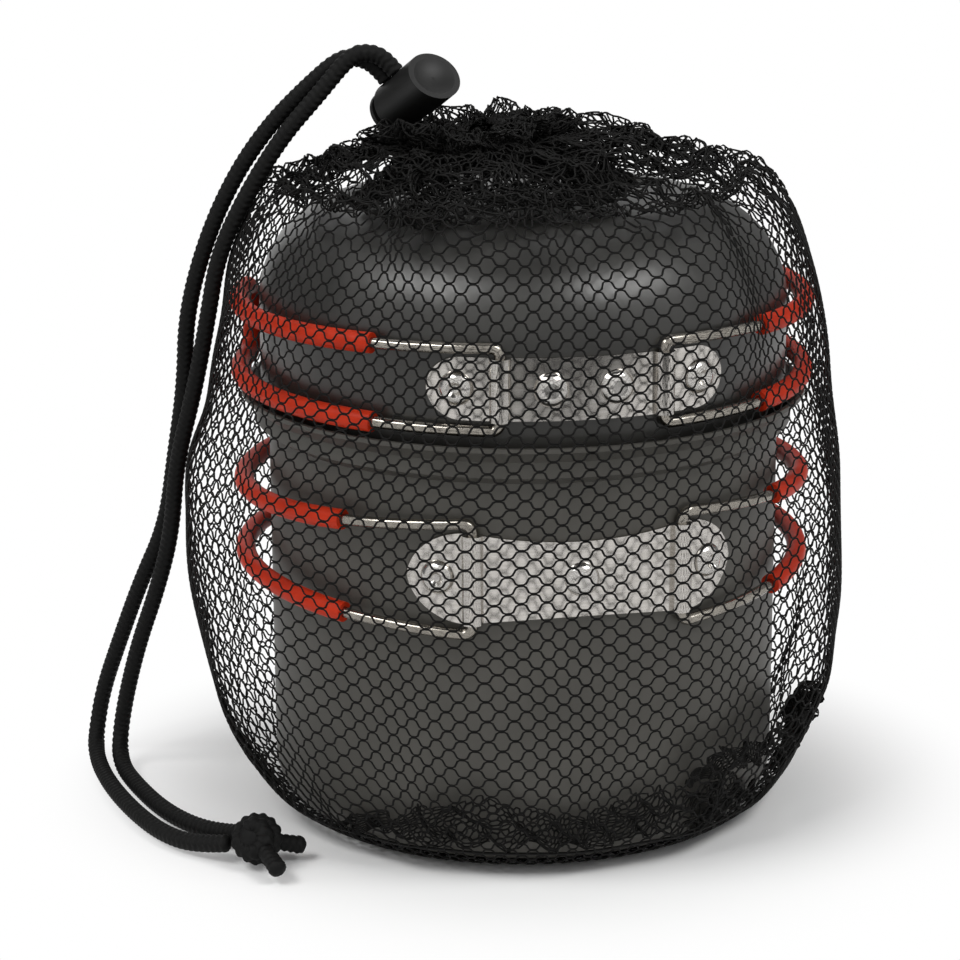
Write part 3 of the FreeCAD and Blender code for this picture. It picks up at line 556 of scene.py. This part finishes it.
baseNet = yarnPiece("bagNetBase", knit(baseCloth, baseLook["rows"], netLook, 0,
                                       baseLook["columns"]), ["bag_base"])

# slack: the cut edge and spare cloth bunched inside the base seam, seen through the front, then
# a clump at the right, the tuck that runs round to it and one upright fold below the tuck
slackLook = [
    dict(start=-2.50, end=-0.66, low=8.0, high=21.0, columns=96, rows=18, wander=1.4),
    dict(start=-0.78, end=-0.06, low=14.0, high=31.0, columns=56, rows=24, wander=2.4),
    dict(start=-1.20, end=-0.50, low=22.0, high=30.0, columns=56, rows=14, wander=1.5),
    dict(start=-1.07, end=-0.90, low=2.5, high=27.0, columns=14, rows=34, wander=1.1),
]
slackStitch = dict(netLook, rowPitch=1.0, reach=0.42, pinch=0.06)
slackShape = dict(
    inset=0.97,             # its width and depth as a share of the bag's
    creaseSize=6.0,
    sway=np.array([0.7, 0.5, 0.8]),     # how much it crumples along X, Y and Z
    taper=6, least=0.15,    # over 1 / taper of its length each end narrows, down to this share
)
wallRings = 8               # the rings up the bag's wall, each higher than the last


def slackCloth(look):
    # a strip between two angles and two heights, just inside the bag's own surface, which
    # narrows at both ends and has a wavy upper edge
    def place(u, row):
        shape = slackShape
        share = u / look["columns"]
        angle = look["start"] + share * (look["end"] - look["start"])
        ends = np.clip(np.minimum(share, 1 - share) * shape["taper"], shape["least"], 1)
        tall = (look["high"] - look["low"]) * ends * (0.82 + 0.18 * np.sin(9 * angle))
        height = look["low"] + tall * row / look["rows"]
        ring = np.interp(height, bagRings[:wallRings, 0], np.arange(float(wallRings)))
        cloth = bagSurface(0.5 + angle / (2 * np.pi), ring) * [shape["inset"], shape["inset"], 1]
        return cloth + crumple(cloth, shape["creaseSize"]) * look["wander"] * shape["sway"]
    return place


slackNet = []
for number, look in enumerate(slackLook):
    rings = knit(slackCloth(look), look["rows"], slackStitch, 0, look["columns"])
    slackNet.append(yarnPiece(f"bagNetSlack{number + 1}", rings))

# seam: the doubled thread that sews the base to the side
seamLook = dict(ring=2.12, radius=0.36, points=420)     # it runs just above the bag's third ring
turn = np.linspace(0, 1, seamLook["points"])[None, :]
seamLine = bagSurface(turn, np.full_like(turn, seamLook["ring"]))
seam = yarnPiece("bagSeam", tubes(seamLine, np.broadcast_to([0, 0, 1.0], seamLine.shape),
                                  np.full(seamLine.shape[:2], seamLook["radius"])))
print("net bag done:", bagRows, "rows,", len(netPieces[0].data.polygons) * 2,
      "triangles in a panel")

# braided cord: rib is the length of one rib, step the distance between rings, and tip how far
# from its end the cord starts to round off, all in millimetres
cordLook = dict(radius=2.12, relief=0.3, rib=1.6, lanes=4, step=0.32, sides=28, tip=0.9)


def evenly(line, step):
    # points a step apart along the line, and how far along each one lies
    far = np.concatenate([[0], np.cumsum(np.linalg.norm(np.diff(line, axis=0), axis=1))])
    where = np.linspace(0, far[-1], max(int(far[-1] / step), 4))
    return np.stack([np.interp(where, far, line[:, k]) for k in range(3)], -1), where


def braid(line, look, reference=(0.25, 1.0, 0.15), flare=0.0, blunt=False):
    # a round braid: lanes of V-shaped ribs run along it, each rib a cosine of the length,
    # held back towards its lane's edges by a triangle wave of the angle, where a groove lies;
    # both ends round off, or only the last where the first is blunt; a lane starts on the side
    # that the reference points to, and a flare widens the end
    centre, far = evenly(np.asarray(line), look["step"])
    along = unit(np.gradient(centre, axis=0))
    ref = np.array(reference)
    out = unit(ref - along * (along @ ref)[:, None])
    aside = np.cross(along, out)
    turn = np.arange(look["sides"]) * 2 * np.pi / look["sides"]
    edge = np.abs(2 * (turn * look["lanes"] / (2 * np.pi) % 1) - 1)
    rib = 0.5 + 0.5 * np.cos(2 * np.pi * (far[:, None] / look["rib"] - 0.5 * edge))
    shape = look["radius"] - look["relief"] * (1 - rib * (1 - 0.6 * edge ** 4))
    fromEnd = far[-1] - far if blunt else np.minimum(far, far[-1] - far)
    shape = shape * np.sqrt(np.minimum(1, 0.1 + fromEnd / look["tip"]))[:, None]
    shape = shape * (1 + flare * (far / far[-1]) ** 3)[:, None]
    ring = (np.cos(turn)[:, None] * out[:, None, :] + np.sin(turn)[:, None] * aside[:, None, :])
    return centre, centre[:, None, :] + ring * shape[..., None]


def closedTube(rings):
    # faces of one tube, with a fan to a middle point at each end
    length, sides = rings.shape[:2]
    quads = tubeFaces(1, length, sides)[: (length - 1) * sides]
    points = np.concatenate([rings.reshape(-1, 3), rings[0].mean(0)[None], rings[-1].mean(0)[None]])
    side = np.arange(sides)
    after = (side + 1) % sides
    low = np.stack([after, side, np.full(sides, length * sides)], -1)
    base = (length - 1) * sides
    high = np.stack([base + side, base + after, np.full(sides, length * sides + 1)], -1)
    return points, np.array(quads.tolist() + low.tolist() + high.tolist(), dtype=object)


def cordPiece(name, line, nodes=(), look=cordLook, **shape):
    # a braid along the line, closed at its ends, and the line of its middle
    centre, rings = braid(line, look, **shape)
    return makePiece(name, *closedTube(rings), cordYarn, "bag", "cord_black", nodes), centre


def routeLine(route):
    # the points that the route's own NURBS spline gives, in millimetres
    curve = bpy.data.curves.new("route", "CURVE")
    curve.dimensions = "3D"
    curve.resolution_u = 24
    spline = curve.splines.new("NURBS")
    spline.points.add(len(route) - 1)
    spline.points.foreach_set("co", np.column_stack([route, np.ones(len(route))]).ravel())
    spline.order_u = 3
    spline.use_endpoint_u = True
    holder = bpy.data.objects.new("route", curve)
    mesh = bpy.data.meshes.new_from_object(holder)
    points = np.empty(len(mesh.vertices) * 3)
    mesh.vertices.foreach_get("co", points)
    bpy.data.objects.remove(holder)
    bpy.data.meshes.remove(mesh)
    bpy.data.curves.remove(curve)
    return points.reshape(-1, 3) / mm


# both tails' routes from the lock to the knot, in metres as in the frame
outerRoute = [
    (-0.03085, 0.00538, 0.17224), (-0.03304, 0.00627, 0.17522), (-0.03675, 0.00738, 0.17724),
    (-0.04125, 0.00858, 0.17714), (-0.0486, 0.0106, 0.1706), (-0.0572, 0.0134, 0.1616),
    (-0.0654, 0.0162, 0.1494), (-0.0722, 0.0190, 0.1340), (-0.0770, 0.0220, 0.1160),
    (-0.0776, 0.0248, 0.0980), (-0.0802, 0.0276, 0.0800), (-0.0826, 0.0306, 0.0620),
    (-0.0890, 0.0348, 0.0464), (-0.0940, 0.0394, 0.0310), (-0.0986, 0.0440, 0.0160),
    (-0.1008, 0.0430, 0.0050), (-0.1016, 0.0330, 0.0021), (-0.1000, 0.0140, 0.0021),
    (-0.0956, -0.0060, 0.0021), (-0.0900, -0.0216, 0.0021), (-0.0834, -0.0306, 0.0026),
    (-0.07652, -0.03661, 0.0048),
]
innerRoute = [
    (-0.02932, 0.00204, 0.17436), (-0.03151, 0.00293, 0.17733), (-0.03512, 0.00334, 0.17896),
    (-0.03952, 0.00364, 0.17836), (-0.0468, 0.0050, 0.1694), (-0.0552, 0.0072, 0.1596),
    (-0.0634, 0.0102, 0.1460), (-0.0702, 0.0122, 0.1316), (-0.0728, 0.0146, 0.1156),
    (-0.0760, 0.0174, 0.0984), (-0.0806, 0.0204, 0.0800), (-0.0820, 0.0230, 0.0620),
    (-0.0856, 0.0264, 0.0470), (-0.0904, 0.0300, 0.0320), (-0.0938, 0.0336, 0.0170),
    (-0.0956, 0.0344, 0.0060), (-0.0960, 0.0260, 0.0021), (-0.0934, 0.0110, 0.0021),
    (-0.0888, -0.0060, 0.0021), (-0.0826, -0.0190, 0.0024), (-0.0758, -0.0274, 0.0035),
    (-0.07252, -0.0328, 0.00532),
]
outerTail, outerLine = cordPiece("cordTailOuter", routeLine(outerRoute), ["cord_tail_outer"],
                                 blunt=True)
innerTail, innerLine = cordPiece("cordTailInner", routeLine(innerRoute), ["cord_tail_inner"],
                                 blunt=True)

# the tails' last stretch inside the lock, straight back from where they leave it
thinLook = dict(cordLook, radius=2.0)
insideReach = np.linspace(6.0, -0.3, 20)[:, None]       # from inside the lock to just past it
for name, route in (("cordInLockOuter", outerRoute), ("cordInLockInner", innerRoute)):
    first, second = np.array(route[0]) / mm, np.array(route[1]) / mm
    back = first - unit(second - first) * insideReach
    cordPiece(name, back, [], thinLook, blunt=True)[0]

# overhand knot of both tails, drawn tight: turns wound into a ball round a filled middle
knotLook = dict(cordLook, radius=2.35, relief=0.5)
knotPlace = dict(
    centre=np.array([-70.5, -39.1, 6.3]), axis=unit(np.array([-0.45, -0.70, 0.55])),
    wound=3.75,             # from the centre to the middle of the wound cord
    turns=2.6, start=0.6,   # how often it goes round, and the angle it starts at
    firstPole=30, sweep=122,    # degrees from one pole to the start, and on to the end
    core=4.5,
)


def knotWinding(place):
    # a line round a ball from near one pole to near the other, its polar angle even with turn
    t = np.linspace(0, 1, 300)
    polar = np.radians(place["firstPole"] + place["sweep"] * t)
    spin = 2 * np.pi * place["turns"] * t + place["start"]
    side = unit(np.cross(place["axis"], [0, 0, 1.0]))
    up = np.cross(side, place["axis"])
    line = (np.cos(polar)[:, None] * place["axis"] + np.sin(polar)[:, None]
            * (np.cos(spin)[:, None] * side + np.sin(spin)[:, None] * up))
    return place["centre"] + place["wound"] * line


def knotBall(place, steps=40, sides=32):
    # a ball: each ring's radius goes with the square root of 1 minus its height squared
    across = np.linspace(-1, 1, steps)
    line = place["centre"] + place["axis"] * across[:, None] * place["core"]
    radius = np.sqrt(np.clip(1 - across ** 2, 0.0004, 1)) * place["core"]
    return tubes(line[None], np.broadcast_to([0, 0, 1.0], (1, steps, 3)), radius[None], sides)[0]


knot, _ = cordPiece("cordKnot", knotWinding(knotPlace), ["cord_knot"], knotLook)
core = makePiece("cordKnotCore", *closedTube(knotBall(knotPlace)), cordYarn, "bag", "cord_black")

# the two cut ends stand out of the knot and rest on the floor: way, and how far they reach
cutLook = dict(ways=[((10.3, 2.0, -3.2), 12.0), ((3.4, -12.6, -3.2), 13.4)], start=2.0, rest=2.3,
               flare=0.12)
for number, (way, far) in enumerate(cutLook["ways"]):
    span = np.linspace(cutLook["start"], far, 30)[:, None]
    line = knotPlace["centre"] + unit(np.array(way)) * span
    line[:, 2] = np.maximum(line[:, 2], cutLook["rest"])
    (cordPiece(f"cordCutEnd{number + 1}", line, [], thinLook,
                             flare=cutLook["flare"])[0])
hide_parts("cord_ends")

# drawstring: a thinner round inside the gathered hem, and its lead up to the lock
stringLook = dict(cordLook, radius=1.5, rib=1.3, relief=0.2, sides=20)
stringPlace = dict(
    width=13.4, level=159.2, wave=0.3,      # the round, and how far it waves up and down
    start=0.15, end=2 * np.pi + 0.1,        # its two ends all but meet
    leadFrom=(-25.05, 1.9, 159.2), leadTo=(-22.44, 0.62, 162.89),
)
turn = np.linspace(stringPlace["start"], stringPlace["end"], 120)
ringLine = np.stack([
    neckX + stringPlace["width"] * np.cos(turn), neckY + stringPlace["width"] * np.sin(turn),
    stringPlace["level"] + stringPlace["wave"] * np.sin(5 * turn)], -1)
leadLine = np.linspace(stringPlace["leadFrom"], stringPlace["leadTo"], 12)
upright = (0, 0, 1.0)
loop, _ = cordPiece("drawstringLoop", ringLine, ["drawstring_loop"], stringLook,
                    reference=upright)
lead, _ = cordPiece("drawstringLead", leadLine, [], stringLook, reference=upright)
print("cords done")

# the CAD pieces that are seen as they are, by what they are made of
handles = [f"{owner}_handle_{side}" for owner in ("pot", "pan") for side in ("left", "right")]
dressing = {
    potAnodised: ["pot_body"],
    panAnodised: ["pan_body"],
    plateSteel: ["pot_bracket", "pan_bracket"],
    rivetSteel: ["pot_rivets", "pan_rivets"],
    wireSteel: [f"{handle}_wire" for handle in handles],
    silicone: [f"{handle}_sleeve" for handle in handles],
    lockPlastic: ["cord_lock_barrel", "cord_lock_plunger"],
    springSteel: ["cord_lock_spring"],
}
for material, names in dressing.items():
    for name in names:
        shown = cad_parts[name]
        shown.data.materials.clear()
        shown.data.materials.append(material)
print("CAD pieces dressed")

# each piece of the net, the seam and the drawstring gets a mesh of its own
for piece in [*netPieces, *gatherNet, baseNet, *slackNet, seam, loop, lead]:
    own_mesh(piece)
# the lock's spring gets a mesh of its own
spring = bpy.data.objects["cord_lock_spring"]
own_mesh(spring)


def seen(owner):
    # 1 where the camera, metal or glass sees it, 0 where it only lights the object
    rays = addNode(owner, "ShaderNodeLightPath").outputs
    either = addNode(owner, "ShaderNodeMath", {
        0: rays["Is Camera Ray"], 1: rays["Is Glossy Ray"]}, operation="MAXIMUM").outputs[0]
    return addNode(owner, "ShaderNodeMath", {
        0: either, 1: rays["Is Transmission Ray"]}, operation="MAXIMUM").outputs[0]


# backdrop paper: pale and matte under the object, where it keeps the shadow, plain white
# beyond; the set's sizes are in metres
floorLook = dict(size=3.0, level=-0.0005, colour="#f7f7f6", shadowTo=0.07, whiteFrom=0.12)
paper, shader = newMaterial("paleBackdropPaper", {
    "Base Color": colour(floorLook["colour"]), "Roughness": 0.9, "Specular IOR Level": 0.1})
place = addNode(paper, "ShaderNodeTexCoord").outputs["Object"]
far = addNode(paper, "ShaderNodeVectorMath", {0: place}, operation="LENGTH").outputs["Value"]
away = addNode(paper, "ShaderNodeMapRange", {
    "Value": far, "From Min": floorLook["shadowTo"], "From Max": floorLook["whiteFrom"]},
    interpolation_type="SMOOTHSTEP").outputs["Result"]
share = addNode(paper, "ShaderNodeMath", {0: away, 1: seen(paper)}, operation="MULTIPLY")
white = addNode(paper, "ShaderNodeEmission", {"Color": (1, 1, 1, 1), "Strength": 1.0})
both = addNode(paper, "ShaderNodeMixShader", {
    0: share.outputs[0], 1: shader.outputs[0], 2: white.outputs[0]})
paper.node_tree.links.new(
    both.outputs[0], paper.node_tree.nodes["Material Output"].inputs["Surface"])


def sheetOf(name, corners, material):
    # a flat sheet between four corners, which belongs to the set and not to the object
    mesh = bpy.data.meshes.new(name)
    mesh.from_pydata(corners, [], [(0, 1, 2, 3)])
    mesh.materials.append(material)
    made = bpy.data.objects.new(name, mesh)
    bpy.context.collection.objects.link(made)
    return made


side, level = floorLook["size"], floorLook["level"]
sheetOf("floor", [(-side, -side, level), (side, -side, level), (side, side, level),
                  (-side, side, level)], paper)
# cards out of view: black on the floor before the object and above it, grey behind it at each
# side; they give the steel and the turned walls something dark to show
cardBlack, _ = newMaterial("blackCard", {"Base Color": colour("#0a0a0a"), "Roughness": 0.9})
cardGrey, _ = newMaterial("greyCard", {"Base Color": colour("#8c8c8c"), "Roughness": 0.9})
cards = [
    ("cardBefore", cardBlack, [(-0.62, -0.90, 0.004), (0.86, -0.90, 0.004),
                               (0.86, -0.47, 0.004), (-0.62, -0.47, 0.004)]),
    ("cardLeft", cardGrey, [(-0.95, 0.10, 0.0), (-0.30, 0.80, 0.0), (-0.30, 0.80, 0.8),
                            (-0.95, 0.10, 0.8)]),
    ("cardRight", cardGrey, [(0.30, 0.80, 0.0), (0.95, 0.10, 0.0), (0.95, 0.10, 0.8),
                             (0.30, 0.80, 0.8)]),
    ("cardAbove", cardBlack, [(-0.9, -0.7, 1.6), (0.9, -0.7, 1.6), (0.9, 1.0, 1.6),
                              (-0.9, 1.0, 1.6)]),
]
for name, material, corners in cards:
    card = sheetOf(name, corners, material)
    card.visible_camera = False
    card.visible_diffuse = False
    card.visible_shadow = False

world = bpy.data.worlds.new("studio")
bpy.context.scene.world = world
world.use_nodes = True
world.node_tree.nodes.clear()
soft = addNode(world, "ShaderNodeBackground", {"Color": colour("#f4f5f7"), "Strength": 0.45})
plain = addNode(world, "ShaderNodeBackground", {"Color": (1, 1, 1, 1), "Strength": 1.0})
sky = addNode(world, "ShaderNodeMixShader", {
    0: seen(world), 1: soft.outputs[0], 2: plain.outputs[0]})
addNode(world, "ShaderNodeOutputWorld", {"Surface": sky.outputs[0]})

lampTarget = (0, 0, 0.08)
lamps = [
    # name, place in metres, width, height, power in watts
    ("keyBox", (-0.95, -0.42, 1.30), 0.95, 0.45, 12.2),
    ("fillBox", (0.66, -0.70, 1.20), 0.8, 0.45, 9.6),
    ("topBox", (0.0, 0.30, 1.10), 0.8, 0.8, 1.5),
]
for name, spot, width, height, power in lamps:
    light = bpy.data.lights.new(name, "AREA")
    light.shape = "RECTANGLE"
    light.size, light.size_y, light.energy = width, height, power
    lamp = bpy.data.objects.new(name, light)
    bpy.context.collection.objects.link(lamp)
    lamp.location = spot
    lamp.rotation_euler = aimed(spot, lampTarget)

bpy.context.scene.view_settings.view_transform = "Standard"

print("scene finished")
